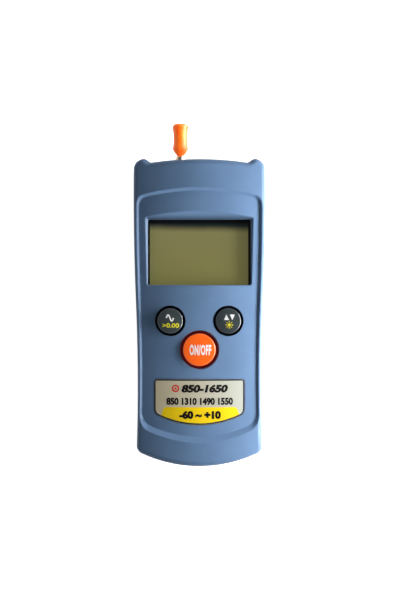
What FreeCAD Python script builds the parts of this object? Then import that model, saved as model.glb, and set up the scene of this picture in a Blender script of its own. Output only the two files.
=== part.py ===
import FreeCAD, Part
import math
import os

# Handheld optical power meter lying on its back, in millimetres.
# +X is right, +Y runs towards the fibre port, +Z is up through the display.
# The origin is the middle of the rear case's flat rest face.

V = FreeCAD.Vector

# Case outline, seen from the front
head_half = 27.5          # half width of the head
waist_half = 25.9         # half width of the grip at its narrowest
head_y = 47.0             # where the head is widest
bend_y = 4.0              # where the side changes from bulging to hollow
waist_y = -30.0           # where the grip is narrowest
arch_y = 63.6             # crest of the hollow between the bumpers
arch_drop = 1.2           # foot of each bumper, below that crest
arch_end_in = 7.3         # and in from the side of the head
peak_rise = 0.9           # peak of each bumper, above that crest
peak_in = 4.5
shoulder_drop = 1.1       # where the bumper's top meets the side
foot_y = -64.4            # crest of the lower end
foot_bow = 5.9            # rise of the lower end to its corners
bumper_foot_round = 1.0
bumper_peak_round = 2.6
bumper_out_round = 4.0
foot_corner_round = 3.4

# Case depth and crown
front_z = 26.0            # crest of the front above the rest face, halfway along
front_tilt = 1.6          # the front rises towards the port, degrees
crown_radius = 100.0      # the front bows across its width
rim_round = 2.2
rear_round = 2.4
parting_z = 13.0          # joint plane of the two case halves
seam_bevel = 0.35         # along the joint, on both halves
wall = 2.2                # side walls of both halves
face_wall = 2.2           # front wall behind the sunk panel
floor = 2.0               # rear wall
lip_wall = 1.0            # tongue that lines up the halves
lip_high = 1.0
lip_root = 1.5            # how far down the tongue joins the rear wall
lip_gap = 0.15
inner_gap = 0.2           # between the front half's inner shapes and the rear half's

# Sunk front panel and its sloping step
panel_sink = 1.2
panel_top = 50.5
panel_low_in = 12.4       # foot of the panel, in from the lower end
panel_margin = 1.85       # from the side of the case to the foot of the step
panel_round_top = 3.2
panel_round_low = 4.2
step_slope_top = 1.0      # run of the step for each unit of its rise
step_slope_low = 2.0
step_slope_side = 0.6
step_round = 0.6          # along the top of the step
step_foot_round = 0.5

# Display window and the stack behind it
window_in = 6.0           # side of the window, in from the side of the head
window_top = 38.7
window_low = 11.4
window_round = 0.7
window_land = 0.4         # upright edge just above the lens
window_slope_top = 0.9
window_slope_side = 1.1
window_slope_low = 0.05
window_edge_round = 0.6   # where the window's sides meet the panel
lens_thick = 1.5
lens_top = 21.9
lens_lap = 1.5            # lens under the case, beyond the window
lens_gap = 0.1
gasket_thick = 0.8
gasket_wide = 1.1
gasket_out = 0.2          # gasket's opening beyond the window's edge
glass_thick = 2.0
glass_in = 0.3            # glass inside the outline of the lens
backlight_thick = 1.8
backlight_gap = 0.4
frame_wall = 1.3
frame_gap = 0.15
bezel_land = 1.4          # case material round the lens pocket
bezel_gap = 0.1
zebra_wide = 1.8
zebra_in = 1.0

# Circuit board and its posts
board_thick = 1.6
board_under = 14.2
board_gap = 0.4           # edge of the board to the case wall
board_neck_gap = 0.7      # and to the lower bosses
board_top_y = 48.0
board_neck = 4.0          # start of the narrow part, below the lower posts
board_over = 2.0          # board beyond the lower end of the bay
post_radius = 2.3
post_top_y = 45.2
post_low_y = -24.0
board_screw_radius = 0.9
board_screw_head = 1.7
board_screw_head_high = 1.1
board_screw_bite = 4.0
screw_gap = 0.05          # thread in its pilot hole
screw_hole_gap = 0.25     # screw through its clearance hole
pilot_over = 0.5          # pilot hole beyond the tip of the screw
slot_wide = 0.4           # cross slot in a screw's head

# Keys and their switches
side_key_x = 12.1
side_key_y = -3.6
side_key_radius = 5.25
side_key_gap = 1.15       # dark slot round the cap
power_key_y = -15.6
power_key_radius = 6.75
power_key_gap = 1.3
key_rise = 0.95           # edge of the cap above the panel
key_dome = 0.3
key_edge_round = 0.45
key_lap = 0.75            # flange under the panel, beyond the hole
key_flange = 1.4
key_ceiling_gap = 0.15
key_stem_radius = 1.6
collar_wall = 1.0
collar_gap = 0.25
collar_low = 18.4
hole_round = 0.35         # soft edge of each key's hole
switch_side = 6.0
switch_high = 2.2
plunger_radius = 1.65
plunger_gap = 0.06
plunger_proud = 0.8
plunger_inside = 1.1
switch_bore = 1.7
terminal_wide = 0.8
terminal_out = 0.9
terminal_thick = 0.2
terminal_spread = 0.6     # as a share of the switch's half width

# Label plate
label_in = 6.95           # side of the plate, in from the side of the grip
label_key_gap = 4.25      # below the power key's slot
label_low_in = 5.0        # crest of its lower edge, above the foot of the panel
label_bow = 4.6           # rise of that edge to its ends
label_round_top = 1.3
label_round_low = 3.0
label_thick = 0.45
label_sink = 0.5
label_gap = 0.2

# Fibre port, turned about an axis along Y on the joint plane
port_x = -8.1
port_body_radius = 4.0
port_tip_out = 2.6        # tip of the port beyond the crest of the head
port_tip_radius = 2.05
port_nose_radius = 2.35
port_thread_out = 0.7     # end of its thread beyond that crest
port_tail = 8.0           # body behind the flange
port_chamfer = 0.3
port_lip = 0.2            # soft edges at the tip
port_flange_radius = 5.5
port_flange_thick = 1.6
port_gap = 0.05
port_seat_deep = 0.6      # nut's seat below the crest of the head
port_seat_radius = 6.6
port_seat_wall = 0.6
port_wall = 5.0           # material between the seat and the front of the saddle's groove
nut_flats = 10.0
nut_thick = 1.1
nut_gap = 0.03
plug_bore = 1.5
plug_bore_deep = 5.2
sleeve_bore = 1.25
sleeve_outer = 1.9
sleeve_gap = 0.02
sleeve_long = 7.2
diode_radius = 2.7
diode_gap = 0.05
diode_long = 3.3
diode_leg_radius = 0.25
diode_leg_pitch = 1.27
diode_leg_back = 3.6      # legs' risers behind the tail of the port
diode_leg_root = 0.2      # into the can
diode_leg_proud = 0.6     # above the board
diode_leg_hole_gap = 0.1
saddle_back = 1.5         # saddle behind the flange

# Dust cap
cap_pin_gap = 0.05
cap_pin_deep = 4.8
cap_pin_soft = 0.5
cap_neck_radius = 1.5
cap_neck_long = 0.8
cap_foot_gap = 0.15       # cap's foot above the tip of the port
cap_collar_radius = 2.85  # rounded collar below the bulge
cap_collar_soft = 0.4
cap_ring_up = 2.8         # step from the collar to the bulge
cap_ring_wide = 0.9
cap_groove = 0.15
cap_bulge_radius = 3.25
cap_waist_radius = 2.9
cap_top_radius = 3.4
cap_top_drop = 1.6        # shoulder of the cap below its top
cap_top_round = 1.3
cap_top_bow = 0.2
cap_long = 14.2           # from the tip of the port to the top of the cap

# Case screws
boss_radius = 3.0
boss_head_in = 6.5        # in from the side of the head
boss_head_drop = 9.0      # below the crest of the head
boss_bay_gap = 2.1        # lower bosses and posts, out from the bay's wall
boss_foot_in = 13.6       # above the lower end
case_screw_radius = 1.25
case_screw_head = 2.3
case_screw_head_high = 1.6
case_screw_bite = 7.0
case_screw_sink = 3.0
case_screw_head_gap = 0.3

# Battery bay, cells and contacts
cell_radius = 5.25
cell_long = 44.5
cell_nub_radius = 1.9
cell_nub_long = 0.8
cell_rim = 0.4
cell_gap = 0.4            # between two cells
cell_side_gap = 0.45
cell_floor_gap = 0.25
comb_thick = 1.0          # fins that keep the cells apart
comb_in = 6.0
comb_low = 2.2            # lower edge of a fin, below the bay's roof
bay_foot = 9.1            # bay above the lower end of the case
bay_wall = 1.6
bay_roof_gap = 0.15
bay_roof = 1.0
contact_thick = 0.4
contact_half = 3.6
contact_tall = 7.6
contact_dimple = 0.3
contact_dimple_radius = 1.5
contact_play = 0.05
leaf_half = 2.4
leaf_in = 0.4             # leaf's ends in from the ends of its plate
leaf_bow = 2.8
bridge_half = 2.0
tab_half = 1.4
tab_sunk = 0.3            # end of a tab below the board's upper face
tab_gap = 0.2

# Battery door
door_gap = 0.2
door_under = 0.2          # outer face above the rest face
door_thick = 1.7
door_top_gap = 0.1
door_head = 2.2           # door beyond the upper end of the bay
tongue_wide = 1.2
tongue_low = 0.85
tongue_thick = 0.9
tongue_gap = 0.08
tongue_end = 7.0          # plain length at the lower end of the door
tongue_in = 1.0           # and at its upper end
grip_half = 7.0
grip_round = 1.5
grip_up = 7.5             # middle of the grip above the lower end of the bay
grip_long = 9.0
grip_deep = 0.6
grip_ribs = 4
grip_rib_wide = 0.9

# Parts on the board
chip_side = 10.0
chip_high = 1.4
chip_y = -33.0
chip_legs = 8
chip_leg_wide = 0.4
chip_leg_out = 1.0
chip_leg_thick = 0.25
amp_long = 5.0
amp_wide = 4.0
amp_high = 1.5
amp_x = 8.0
amp_y = (28.0, 36.0)
amp_legs = 4
amp_leg_pitch = 1.27
shield_long = 15.0
shield_wide = 13.0
shield_high = 4.0
shield_wall = 0.3
shield_round = 0.8
shield_y = 34.0
buzzer_radius = 6.0
buzzer_high = 5.5
buzzer_x = 12.5
buzzer_up = 18.0          # above the upper end of the bay
buzzer_hole = 1.0
buzzer_hole_deep = 2.0
crystal_long = 10.0
crystal_wide = 4.6
crystal_high = 3.5
crystal_x = -11.0
crystal_up = 20.0
crystal_round = 0.45      # as a share of its width
capacitor_radius = 2.5
capacitor_high = 6.0
capacitor_x = -16.0
capacitor_up = 10.0

# Stiffening ribs inside the halves
rib_thick = 1.2
rib_high = 3.0
rib_up = 14.0             # lowest rib above the upper end of the bay
rib_pitch = 20.0
rib_count = 3

# Levels that follow from the sizes above
reach = 90.0              # long enough to cut right through
touch = 0.02              # two spots this near are one
sharp = 0.2               # smallest corner round, where an inset uses the round up
over = 1.0                # how far a cut runs past the face it opens
sky = front_z + 4 * face_wall
arch_end = (head_half - arch_end_in, arch_y - arch_drop)
bumper_peak = (head_half - peak_in, arch_y + peak_rise)
bumper_out = arch_y - shoulder_drop
foot_corner_y = foot_y + foot_bow
panel_low = foot_y + panel_low_in
window_half = head_half - window_in
lens_under = lens_top - lens_thick
glass_top = lens_under - gasket_thick
glass_under = glass_top - glass_thick
board_top = board_under + board_thick
label_half = waist_half - label_in
label_top = power_key_y - power_key_radius - power_key_gap - label_key_gap
label_crest = panel_low + label_low_in
label_side_low = label_crest + label_bow
cell_z = floor + cell_floor_gap - door_top_gap + cell_radius
cell_pitch = 2 * cell_radius + cell_gap
bay_half = cell_pitch + cell_radius + cell_side_gap
bay_ceiling = cell_z + cell_radius + bay_roof_gap
bay_outer = bay_half + bay_wall
bay_low_y = foot_y + bay_foot
bay_top_y = bay_low_y + cell_long + 2 * (contact_thick + contact_play) + contact_dimple + leaf_bow
door_half = bay_half - door_gap
door_y = bay_top_y + bay_wall + door_head
grip_y = bay_low_y + grip_up
boss_foot_x = bay_outer + boss_bay_gap
boss_foot_y = foot_y + boss_foot_in
boss_head_x = head_half - boss_head_in
boss_head_y = arch_y - boss_head_drop
post_x = boss_foot_x
board_half = min(head_half, waist_half) - wall - board_gap
board_neck_y = post_low_y - board_neck
board_neck_half = boss_foot_x - boss_radius - board_neck_gap
board_low_y = bay_low_y - board_over
port_tip_y = arch_y + port_tip_out
port_thread_end = arch_y + port_thread_out
port_seat_y = arch_y - port_seat_deep
port_flange_y = port_seat_y - port_wall
port_rear_y = port_flange_y - port_tail
diode_leg_y = port_rear_y - diode_leg_back
saddle_y = port_flange_y - saddle_back
saddle_half = port_seat_radius + port_seat_wall
plunger_top = board_top + switch_high + plunger_proud
lens_half = window_half + lens_lap
lens_y0 = window_low - lens_lap
lens_y1 = window_top + lens_lap
glass_half = lens_half - glass_in
tilt = math.radians(front_tilt)
sleeve_end = port_tip_y - plug_bore_deep
sleeve_start = sleeve_end - sleeve_long
diode_rear_y = sleeve_start - diode_long


def block(x0, x1, y0, y1, z0, z1):
    return Part.makeBox(x1 - x0, y1 - y0, z1 - z0, V(x0, y0, z0))


def rod(radius, x, y, z0, z1):
    return Part.makeCylinder(radius, z1 - z0, V(x, y, z0))


def rod_y(radius, y0, y1, x=port_x, z=parting_z):
    return Part.makeCylinder(radius, y1 - y0, V(x, y0, z), V(0, 1, 0))


def line(a, b):
    return Part.makeLine(V(*a), V(*b))


def arc(a, through, b):
    return Part.Arc(V(*a), V(*through), V(*b)).toShape()


def fuse_all(shapes):
    whole = shapes[0].multiFuse(shapes[1:]) if len(shapes) > 1 else shapes[0]
    return whole.removeSplitter()


def turned(edges, x, y, z, axis):
    """A closed profile turned through a full circle."""
    face = Part.Face(Part.Wire(edges))
    return face.revolve(V(x, y, z), axis, 360)


def cap_bow(radius, rise, out):
    """How far a shallow spherical cap has dropped, out from its crest."""
    ball = (radius ** 2 + rise ** 2) / (2 * rise)
    return ball - math.sqrt(ball ** 2 - out ** 2)


def polyline(points):
    return [line(a, b) for a, b in zip(points, points[1:])]


def side_x(y):
    """Half width of the case at y: a bulging arc above the bend, a hollow one below."""
    slope = 2 * (head_half - waist_half) / (head_y - waist_y)
    if y > bend_y:
        return head_half - slope * (head_y - y) ** 2 / (2 * (head_y - bend_y))
    return waist_half + slope * (y - waist_y) ** 2 / (2 * (bend_y - waist_y))


def side_arcs(y0, y1, shift, z, hand):
    """The two arcs down one side from y0 to y1, moved outwards by shift."""
    ends = [(y0, bend_y), (bend_y, y1)]
    spots = [(a, (a + b) / 2, b) for a, b in ends]
    return [arc(*[(hand * (side_x(y) + shift), y, z) for y in spot]) for spot in spots]


def upright_at(solid, x, y):
    """The upright edges that stand at x, y."""
    spot = V(x, y, 0)
    found = []
    for edge in solid.Edges:
        a, b = edge.Vertexes[0].Point, edge.Vertexes[-1].Point
        off = max(V(a.x, a.y, 0).distanceToPoint(spot), V(b.x, b.y, 0).distanceToPoint(spot))
        if off < touch and abs(a.z - b.z) > touch:
            found.append(edge)
    return found


def round_uprights(solid, corners):
    """Round the upright edges that stand at each (x, y) and at its mirror image."""
    for x, y, radius in corners:
        solid = solid.makeFillet(radius, upright_at(solid, x, y) + upright_at(solid, -x, y))
    return solid


def sharp_outline():
    """The case outline with its corners left sharp, at z = 0."""
    edges = [arc((-arch_end[0], arch_end[1], 0), (0, arch_y, 0), (arch_end[0], arch_end[1], 0))]
    foot = (side_x(foot_corner_y), foot_corner_y, 0)
    for hand in (-1, 1):
        top = (hand * side_x(bumper_out), bumper_out, 0)
        peak = (hand * bumper_peak[0], bumper_peak[1], 0)
        edges.append(line((hand * arch_end[0], arch_end[1], 0), peak))
        edges.append(line(peak, top))
        edges += side_arcs(bumper_out, foot_corner_y, 0, 0, hand)
    edges.append(arc((-foot[0], foot[1], 0), (0, foot_y, 0), foot))
    return Part.Wire(Part.__sortEdges__(edges))


outline = sharp_outline()


def rounded_outline(inset):
    """The case outline moved inwards by inset, with its corners rounded."""
    wire = outline.makeOffset2D(-inset, 2) if inset else outline.copy()
    spots = [v.Point for v in wire.Vertexes if v.Point.x > over]
    head = sorted([p for p in spots if p.y > bumper_out - 3 * wall], key=lambda p: p.x)
    foot = min(spots, key=lambda p: p.y)
    corners = [
        (head[0].x, head[0].y, bumper_foot_round + inset),
        (head[1].x, head[1].y, max(bumper_peak_round - inset, sharp)),
        (head[2].x, head[2].y, max(bumper_out_round - inset, sharp)),
        (foot.x, foot.y, max(foot_corner_round - inset, sharp)),
    ]
    slab = round_uprights(Part.Face(wire).extrude(V(0, 0, 1)), corners)
    return min(slab.Faces, key=lambda f: f.CenterOfMass.z).OuterWire


def prism(inset, z0, z1):
    """The rounded outline moved inwards by inset, from z0 up to z1."""
    wire = rounded_outline(inset)
    wire.translate(V(0, 0, z0))
    return Part.Face(wire).extrude(V(0, 0, z1 - z0))


def crown(drop):
    """Everything under the crowned front, lowered by drop."""
    along = V(0, math.cos(tilt), math.sin(tilt))
    normal = V(0, -math.sin(tilt), math.cos(tilt))
    base = V(0, 0, front_z) - normal * crown_radius - along * reach
    solid = Part.makeCylinder(crown_radius - drop, 2 * reach, base, along)
    solid.rotate(base, along, 180)  # turns the seam of the cylinder away from the front
    return solid


def crown_z(x, y, drop):
    """Height of the crowned front at x, y, lowered by drop."""
    rise = math.sqrt((crown_radius - drop) ** 2 - x * x) - crown_radius + math.sin(tilt) * y
    return front_z + rise / math.cos(tilt)


def panel_wire(z):
    """The outline of the sunk panel's cutter, z above the crest of an untilted crown."""
    y1 = panel_top + step_slope_top * (z + panel_sink)
    y0 = panel_low - step_slope_low * (z + panel_sink)
    side_level = crown_z(waist_half - panel_margin, 0, panel_sink) - front_z
    shift = step_slope_side * (z - side_level) - panel_margin
    ra, rb = panel_round_top, panel_round_low
    bow = 1 - math.sqrt(0.5)
    edges = []
    for hand in (-1, 1):
        xa = side_x(y1 - ra) + shift
        xb = side_x(y0 + rb) + shift
        edges.append(arc((hand * (xa - ra), y1, z), (hand * (xa - bow * ra), y1 - bow * ra, z),
                         (hand * xa, y1 - ra, z)))
        edges += side_arcs(y1 - ra, y0 + rb, shift, z, hand)
        edges.append(arc((hand * xb, y0 + rb, z), (hand * (xb - bow * rb), y0 + bow * rb, z),
                         (hand * (xb - rb), y0, z)))
    edges.append(line((ra - xa, y1, z), (xa - ra, y1, z)))
    edges.append(line((rb - xb, y0, z), (xb - rb, y0, z)))
    return Part.Wire(Part.__sortEdges__(edges))


def rounded_plate(x0, x1, y0, y1, z0, z1, radius):
    plate = block(x0, x1, y0, y1, z0, z1)
    uprights = [e for e in plate.Edges if abs(e.Vertexes[0].Z - e.Vertexes[-1].Z) > 1e-6]
    return plate.makeFillet(radius, uprights)


def window_wire(z):
    up = max(z - lens_top - window_land, 0)
    x1 = window_half + window_slope_side * up
    y1 = window_top + window_slope_top * up
    y0 = window_low - window_slope_low * up
    r = window_round
    bow = r * (1 - math.sqrt(0.5))
    edges = []
    for hx in (-1, 1):
        for y, hy in ((y0, -1), (y1, 1)):
            a = (hx * (x1 - r), y, z)
            b = (hx * x1, y - hy * r, z)
            edges.append(arc(a, (hx * (x1 - bow), y - hy * bow, z), b))
        edges.append(line((hx * x1, y0 + r, z), (hx * x1, y1 - r, z)))
    for y in (y0, y1):
        edges.append(line((r - x1, y, z), (x1 - r, y, z)))
    return Part.Wire(Part.__sortEdges__(edges))


def loft(wire_at, *levels):
    return Part.makeLoft([wire_at(z) for z in levels], True, True)


def panel_cutter():
    """The sunk panel's room, its step leaning with the front."""
    room = loft(panel_wire, glass_top - front_z, front_z)
    room.translate(V(0, 0, front_z))
    room.rotate(V(0, 0, front_z), V(1, 0, 0), front_tilt)
    return room.cut(crown(panel_sink))


def label_solid(grow, z0, z1):
    """The label's outline, grown by grow, from z0 up to z1."""
    x = label_half + grow
    top = label_top + grow
    side = label_side_low
    edges = [
        line((-x, side, z0), (-x, top, z0)),
        line((-x, top, z0), (x, top, z0)),
        line((x, top, z0), (x, side, z0)),
        arc((x, side, z0), (0, label_crest - grow, z0), (-x, side, z0)),
    ]
    solid = Part.Face(Part.Wire(edges)).extrude(V(0, 0, z1 - z0))
    corners = [(x, top, label_round_top + grow), (x, side, label_round_low + grow)]
    return round_uprights(solid, corners)


def keys():
    """x, y, cap radius and slot width of each key."""
    return {
        "left": (-side_key_x, side_key_y, side_key_radius, side_key_gap),
        "right": (side_key_x, side_key_y, side_key_radius, side_key_gap),
        "power": (0.0, power_key_y, power_key_radius, power_key_gap),
    }


def flange_radius(radius, gap):
    return radius + gap + key_lap


def flange_top(x, y, radius, gap):
    """The flange stays just under the lowest spot of the ceiling above it."""
    out = flange_radius(radius, gap)
    return crown_z(abs(x) + out, y - out, panel_sink + face_wall) - key_ceiling_gap


def key_cap(x, y, radius, gap):
    low = flange_top(x, y, radius, gap) - key_flange
    top = crown_z(x, y, panel_sink) + key_rise
    flange = flange_radius(radius, gap)
    r = key_edge_round
    bow = r * (1 - math.sqrt(0.5))
    crest = top + key_dome
    walls = polyline([
        (x, y, crest), (x, y, plunger_top), (x + key_stem_radius, y, plunger_top),
        (x + key_stem_radius, y, low), (x + flange, y, low), (x + flange, y, low + key_flange),
        (x + radius, y, low + key_flange), (x + radius, y, top - r),
    ])
    edge = arc((x + radius, y, top - r), (x + radius - bow, y, top - bow), (x + radius - r, y, top))
    face = radius - r
    dome = arc((x + face, y, top), (x + face / 2, y, crest - cap_bow(face, key_dome, face / 2)),
               (x, y, crest))
    return turned(walls + [edge, dome], x, y, 0, V(0, 0, 1))


def switch_base(x, y):
    half = switch_side / 2
    top = board_top + switch_high
    base = block(x - half, x + half, y - half, y + half, board_top, top)
    feet = []
    for hx in (-1, 1):
        for hy in (-1, 1):
            cx = x + hx * half
            cy = y + hy * half * terminal_spread
            feet.append(block(cx - terminal_out, cx + terminal_out, cy - terminal_wide / 2,
                              cy + terminal_wide / 2, board_top, board_top + terminal_thick))
    base = fuse_all([base] + feet)
    return base.cut(rod(plunger_radius + plunger_gap, x, y, top - switch_bore, top + over))


def plunger(x, y):
    top = board_top + switch_high
    return rod(plunger_radius, x, y, top - plunger_inside, plunger_top)


def case_bosses():
    return [(hand * bx, by) for bx, by in ((boss_head_x, boss_head_y), (boss_foot_x, boss_foot_y))
            for hand in (-1, 1)]


def board_posts():
    return [(hand * post_x, y) for y in (post_top_y, post_low_y) for hand in (-1, 1)]


def port_cut():
    """Room for the port's body, its flange and the nut's seat."""
    body = rod_y(port_body_radius + port_gap, saddle_y - over, arch_y + over)
    flange_end = port_flange_y + port_flange_thick
    flange = rod_y(port_flange_radius + port_gap, port_flange_y - port_gap, flange_end + port_gap)
    seat = rod_y(port_seat_radius, port_seat_y, arch_y + over)
    return body.multiFuse([flange, seat])


def port_saddle(z0, z1):
    return block(port_x - saddle_half, port_x + saddle_half, saddle_y, port_seat_y, z0, z1)


def outer_rim(solid, radius):
    """Round the edge between the crowned front and the sides."""
    crowned = [f for f in solid.Faces if isinstance(f.Surface, Part.Cylinder)
               and abs(f.Surface.Radius - crown_radius) < 1e-3]
    top = max(crowned, key=lambda f: f.Area)
    return solid.makeFillet(radius, top.OuterWire.Edges)


def seam(z, up):
    """A bevel all round the outline, narrowing from z towards the joint of the halves."""
    outer = rounded_outline(0)
    inner = rounded_outline(seam_bevel)
    outer.translate(V(0, 0, z + up * seam_bevel))
    inner.translate(V(0, 0, z))
    ring = prism(0, min(z, z + up * seam_bevel), max(z, z + up * seam_bevel))
    return ring.cut(Part.makeLoft([inner, outer], True, True))


def crown_faces(body, drop):
    """The faces that lie on the crowned front lowered by drop."""
    return [f for f in body.Faces if isinstance(f.Surface, Part.Cylinder)
            and abs(f.Surface.Radius - crown_radius + drop) < touch]


def soft_step(body):
    """Round the top and the foot of the step round the panel."""
    panel = crown_faces(body, panel_sink)[0]
    foot = panel.OuterWire.Edges
    step = [f for f in body.Faces if not f.isSame(panel) and any(e.isSame(o) for e in f.Edges for o in foot)]
    top = [e for f in step for e in f.Edges if not any(e.isSame(o) for o in foot)
           and sum(e.isSame(o) for other in step for o in other.Edges) == 1]
    body = body.makeFillet(step_round, top)
    return body.makeFillet(step_foot_round, crown_faces(body, panel_sink)[0].OuterWire.Edges)


def soft_window(body):
    """Round the edge where the window's sides meet the panel."""
    panel = max(crown_faces(body, panel_sink), key=lambda f: f.Area)
    middle = (window_low + window_top) / 2
    return body.makeFillet(window_edge_round,
                           min(panel.Wires, key=lambda w: abs(w.BoundBox.Center.y - middle)).Edges)


def soft_holes(solid):
    """Round the front edge of each key's hole."""
    edges = []
    for x, y, radius, gap in keys().values():
        walls = [f for f in solid.Faces if isinstance(f.Surface, Part.Cylinder)
                 and abs(f.Surface.Radius - radius - gap) < touch
                 and abs(f.Surface.Center.x - x) + abs(f.Surface.Center.y - y) < touch]
        top = max([e for f in walls for e in f.Edges], key=lambda e: e.BoundBox.ZMax)
        level = top.BoundBox.ZMax
        edges += [e for f in walls for e in f.Edges if e.BoundBox.ZMin > level - face_wall / 2]
    return solid.makeFillet(hole_round, edges)


def front_case():
    body = outer_rim(prism(0, parting_z, sky).common(crown(0)), rim_round)
    body = soft_step(body.cut(panel_cutter()))
    ceiling = crown(panel_sink + face_wall)
    body = body.cut(prism(wall, parting_z - over, sky).common(ceiling))
    body = body.cut(label_solid(label_gap, parting_z, sky).cut(crown(panel_sink + label_sink)))

    inside = prism(wall / 2, parting_z - over, sky).common(crown(panel_sink + face_wall / 2))
    low, high = lens_y0 - bezel_land, lens_y1 + bezel_land
    added = [block(-head_half, head_half, low, high, glass_top + bezel_gap, sky)]
    for x, y, radius, gap in keys().values():
        added.append(rod(flange_radius(radius, gap) + collar_gap + collar_wall, x, y, collar_low, sky))
    for x, y in board_posts():
        added.append(rod(post_radius, x, y, board_top, sky))
    for x, y in case_bosses():
        added.append(rod(boss_radius, x, y, parting_z, sky))
    added.append(port_saddle(parting_z, front_z))
    body = body.multiFuse([shape.common(inside) for shape in added])

    cuts = [loft(window_wire, lens_top, lens_top + window_land, sky)]
    cuts.append(block(-lens_half - lens_gap, lens_half + lens_gap, lens_y0 - lens_gap, lens_y1 + lens_gap,
                      parting_z, lens_top))
    for x, y, radius, gap in keys().values():
        room = flange_radius(radius, gap) + collar_gap
        cuts.append(rod(radius + gap, x, y, parting_z, sky))
        cuts.append(rod(room, x, y, parting_z, flange_top(x, y, radius, gap) + key_ceiling_gap))
    for x, y in board_posts():
        tip = board_top + board_screw_bite
        cuts.append(rod(board_screw_radius + screw_gap, x, y, board_under, tip + pilot_over))
    for x, y in case_bosses():
        tip = parting_z + case_screw_bite
        cuts.append(rod(case_screw_radius + screw_gap, x, y, parting_z - over, tip + pilot_over))
    cuts.append(port_cut())
    room = bay_outer + inner_gap
    cuts.append(block(-room, room, bay_low_y - bay_wall - inner_gap, bay_top_y + bay_wall + inner_gap,
                      parting_z - over, bay_ceiling + bay_roof + inner_gap))
    lip_top = parting_z + lip_high + lip_gap
    rebate = prism(wall - lip_wall - lip_gap, parting_z - over, lip_top)
    cuts.append(rebate.cut(prism(wall + lip_wall, parting_z - 2 * over, lip_top + over)))
    cuts.append(seam(parting_z, 1))
    return soft_holes(soft_window(body.cut(cuts).removeSplitter()))


def rear_blank():
    body = prism(0, 0, parting_z)
    base = min(body.Faces, key=lambda f: f.CenterOfMass.z)
    return body.makeFillet(rear_round, base.OuterWire.Edges).cut(seam(parting_z, -1))


def door_zone(half, y1, z0, z1):
    return block(-half, half, foot_y - over, y1, z0, z1)


def tongues(grow, y0, y1):
    half = door_half + tongue_wide + grow
    return block(-half, half, y0, y1, tongue_low - grow, tongue_low + tongue_thick + grow)


def tab_slots(z0, z1):
    """Slots for the contact tabs at both ends of the bay."""
    half = tab_half + tab_gap
    return [block(x - half, x + half, y - tab_gap, y + contact_thick + tab_gap, z0, z1)
            for x, y in ((cell_x(0), bay_top_y - contact_thick), (cell_x(2), bay_low_y))]


def rear_case(blank):
    body = blank.cut(prism(wall, floor, parting_z + over))
    lip = prism(wall - lip_wall, parting_z - lip_root, parting_z + lip_high)
    lip = lip.cut(prism(wall, parting_z - lip_root - over, parting_z + lip_high + over))
    inside = prism(wall / 2, 0, parting_z + lip_high)
    bay = block(-bay_outer, bay_outer, bay_low_y - bay_wall, bay_top_y + bay_wall, 0, bay_ceiling + bay_roof)
    posts = [rod(boss_radius, x, y, 0, parting_z) for x, y in case_bosses()]
    saddle = port_saddle(floor / 2, parting_z)
    ribs = []
    for i in range(rib_count):
        y = bay_top_y + rib_up + i * rib_pitch
        half = rib_thick / 2
        ribs.append(block(-head_half, head_half, y - half, y + half, floor / 2, floor + rib_high))
    body = body.multiFuse([lip] + [shape.common(inside) for shape in [bay] + posts + [saddle] + ribs])

    cuts = [block(-bay_half, bay_half, bay_low_y, bay_top_y, 0, bay_ceiling)]
    cuts.append(door_zone(bay_half, door_y + door_gap, -over, floor))
    cuts.append(tongues(tongue_gap, foot_y - over, door_y + door_gap))
    for x, y in case_bosses():
        cuts.append(rod(case_screw_radius + screw_hole_gap, x, y, -over, parting_z + over))
        cuts.append(rod(case_screw_head + case_screw_head_gap, x, y, -over, case_screw_sink))
    cuts.append(port_cut())
    cuts += tab_slots(bay_ceiling - over, bay_ceiling + bay_roof + over)
    body = body.cut(cuts)
    half = comb_thick / 2
    combs = [block(x - half, x + half, bay_low_y + comb_in, bay_top_y - comb_in, bay_ceiling - comb_low,
                   bay_ceiling + bay_roof / 2) for x in (-cell_pitch / 2, cell_pitch / 2)]
    return body.multiFuse(combs).removeSplitter()


def battery_door(blank):
    door = blank.common(door_zone(door_half, door_y, door_under, door_under + door_thick))
    door = door.fuse(tongues(0, foot_y + tongue_end, door_y - tongue_in))
    y0, y1 = grip_y - grip_long / 2, grip_y + grip_long / 2
    grip = rounded_plate(-grip_half, grip_half, y0, y1, -over, door_under + grip_deep, grip_round)
    pitch = grip_long / (grip_ribs + 1)
    ribs = []
    for i in range(grip_ribs):
        y = y0 + (i + 1) * pitch
        ribs.append(block(-grip_half, grip_half, y - grip_rib_wide / 2, y + grip_rib_wide / 2, -2 * over,
                          grip_deep + over))
    return door.cut(grip.cut(ribs)).removeSplitter()


def display_parts():
    lens = rounded_plate(-lens_half, lens_half, lens_y0, lens_y1, lens_under, lens_top, 1.0)
    gx = window_half + gasket_out + gasket_wide
    g0, g1 = window_low - gasket_out - gasket_wide, window_top + gasket_out + gasket_wide
    gasket = block(-gx, gx, g0, g1, glass_top, lens_under)
    gasket = gasket.cut(block(gasket_wide - gx, gx - gasket_wide, g0 + gasket_wide, g1 - gasket_wide,
                              glass_top - over, lens_under + over))
    glass = block(-glass_half, glass_half, lens_y0, lens_y1, glass_under, glass_top)
    zebra_y = lens_y1 - zebra_wide
    light = block(-glass_half, glass_half, lens_y0, zebra_y - backlight_gap, board_top,
                  board_top + backlight_thick)
    zebra = block(zebra_in - glass_half, glass_half - zebra_in, zebra_y, lens_y1, board_top, glass_under)
    gap = frame_gap
    fx = glass_half + gap + frame_wall
    frame = block(-fx, fx, lens_y0 - gap - frame_wall, lens_y1 + gap + frame_wall, board_top, glass_top)
    frame = frame.cut(block(-glass_half - gap, glass_half + gap, lens_y0 - gap, lens_y1 + gap,
                            board_top - over, glass_top + over))
    return {"display_lens": lens, "lens_gasket": gasket, "lcd_glass": glass, "backlight_panel": light,
            "zebra_strip": zebra, "lcd_frame": frame}


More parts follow.
